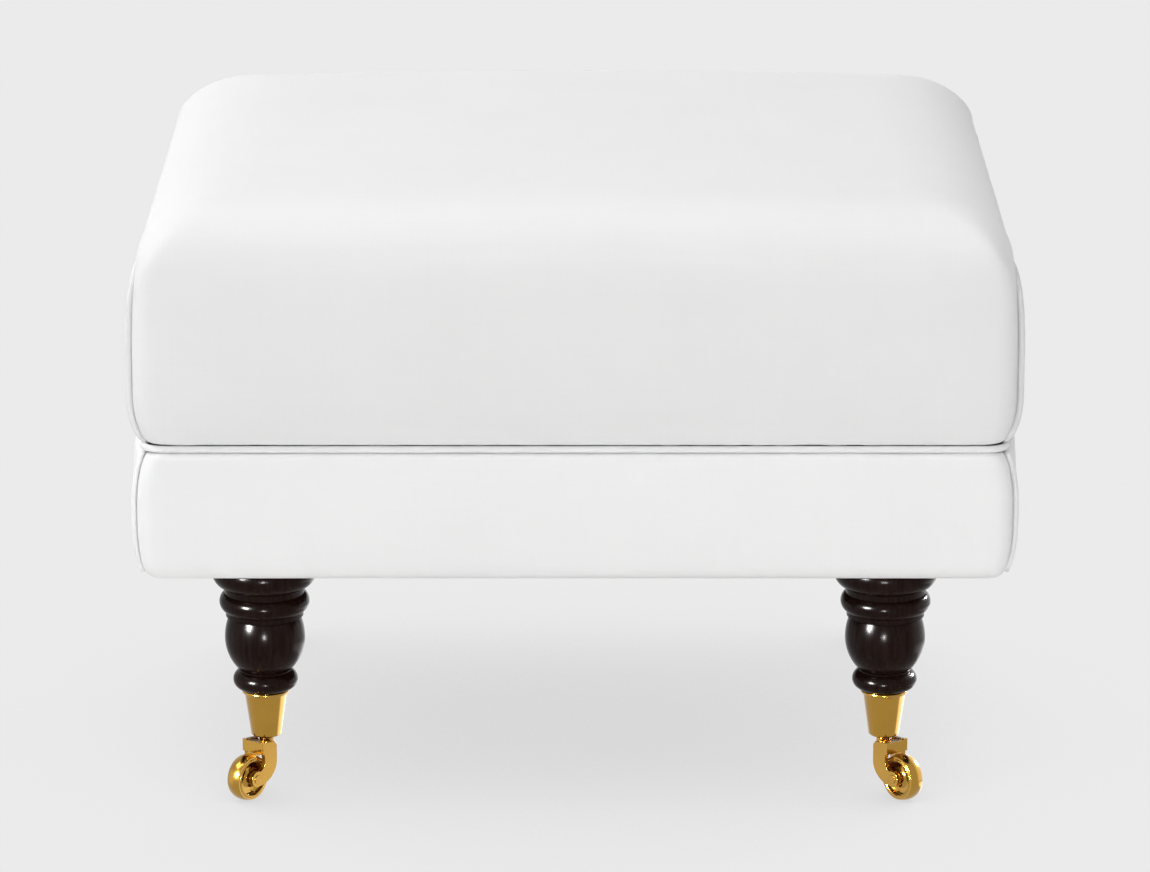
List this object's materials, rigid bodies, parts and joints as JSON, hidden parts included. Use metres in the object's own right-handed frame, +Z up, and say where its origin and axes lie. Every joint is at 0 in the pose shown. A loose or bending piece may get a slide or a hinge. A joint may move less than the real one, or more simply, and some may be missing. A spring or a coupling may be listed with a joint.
{
  "type": "footstool",
  "caption": "Upholstered footstool with a crowned, piped seat box on turned dark legs that end in brass cup casters.",
  "frame": {"origin": "on the floor under the middle of the stool", "axes": "+Z up, front at -Y, +X to the right seen from the front, which is the side in the picture"},
  "size_m": [0.6436, 0.4956, 0.4596],
  "materials": {
    "cover": "white plain-weave cotton",
    "piping": "white self piping",
    "foam": "open-cell upholstery foam",
    "felt": "grey needle felt",
    "dust_cloth": "black cambric",
    "frame_wood": "bare beech",
    "webbing": "jute webbing",
    "leg_wood": "near-black brown stain under gloss lacquer",
    "steel": "zinc plated",
    "brass": "antique satin brass"
  },
  "bodies": {
    "stool": {"seat_panel": "cover", "seat_side_left": "cover", "seat_side_right": "cover", "seat_piping_left": "piping", "seat_piping_right": "piping", "seat_foam": "foam", "felt_pad": "felt", "deck_piping": "piping", "base_panel_front": "cover", "base_panel_back": "cover", "base_side_left": "cover", "base_side_right": "cover", "corner_piping_front_left": "piping", "corner_piping_front_right": "piping", "corner_piping_back_left": "piping", "corner_piping_back_right": "piping", "dust_cover": "dust_cloth", "front_rail": "frame_wood", "back_rail": "frame_wood", "left_rail": "frame_wood", "right_rail": "frame_wood", "corner_block_front_left": "frame_wood", "corner_block_front_right": "frame_wood", "corner_block_back_left": "frame_wood", "corner_block_back_right": "frame_wood", "web_long_1": "webbing", "web_long_2": "webbing", "web_long_3": "webbing", "web_cross_1": "webbing", "web_cross_2": "webbing", "web_cross_3": "webbing", "web_cross_4": "webbing", "leg_front_left": "leg_wood", "leg_front_right": "leg_wood", "leg_back_left": "leg_wood", "leg_back_right": "leg_wood", "hanger_bolts": "steel", "leg_nuts": "steel", "block_screws": "steel", "rail_dowels": "frame_wood", "web_tacks": "steel", "caster_cup_front_left": "brass", "caster_cup_front_right": "brass", "caster_cup_back_left": "brass", "caster_cup_back_right": "brass", "cup_screws": "brass", "swivel_pins": "brass"},
    "fork_front_left": {"caster_fork_front_left": "brass", "caster_axle_front_left": "brass"},
    "wheel_front_left": {"caster_wheel_front_left": "brass"},
    "fork_front_right": {"caster_fork_front_right": "brass", "caster_axle_front_right": "brass"},
    "wheel_front_right": {"caster_wheel_front_right": "brass"},
    "fork_back_left": {"caster_fork_back_left": "brass", "caster_axle_back_left": "brass"},
    "wheel_back_left": {"caster_wheel_back_left": "brass"},
    "fork_back_right": {"caster_fork_back_right": "brass", "caster_axle_back_right": "brass"},
    "wheel_back_right": {"caster_wheel_back_right": "brass"}
  },
  "joints": [
    {"name": "swivel_front_left", "type": "hinge", "parent": "stool", "child": "fork_front_left", "pos_m": [-0.226, -0.193, 0.0396], "axis": [0, 0, 1], "continuous": true},
    {"name": "roll_front_left", "type": "hinge", "parent": "fork_front_left", "child": "wheel_front_left", "pos_m": [-0.23922, -0.20932, 0.01725], "axis": [0.7771, -0.6293, 0], "continuous": true},
    {"name": "swivel_front_right", "type": "hinge", "parent": "stool", "child": "fork_front_right", "pos_m": [0.226, -0.193, 0.0396], "axis": [0, 0, 1], "continuous": true},
    {"name": "roll_front_right", "type": "hinge", "parent": "fork_front_right", "child": "wheel_front_right", "pos_m": [0.23922, -0.20932, 0.01725], "axis": [0.7771, 0.6293, 0], "continuous": true},
    {"name": "swivel_back_left", "type": "hinge", "parent": "stool", "child": "fork_back_left", "pos_m": [-0.226, 0.193, 0.0396], "axis": [0, 0, 1], "continuous": true},
    {"name": "roll_back_left", "type": "hinge", "parent": "fork_back_left", "child": "wheel_back_left", "pos_m": [-0.23922, 0.17668, 0.01725], "axis": [0.7771, -0.6293, 0], "continuous": true},
    {"name": "swivel_back_right", "type": "hinge", "parent": "stool", "child": "fork_back_right", "pos_m": [0.226, 0.193, 0.0396], "axis": [0, 0, 1], "continuous": true},
    {"name": "roll_back_right", "type": "hinge", "parent": "fork_back_right", "child": "wheel_back_right", "pos_m": [0.23922, 0.17668, 0.01725], "axis": [0.7771, 0.6293, 0], "continuous": true}
  ]
}
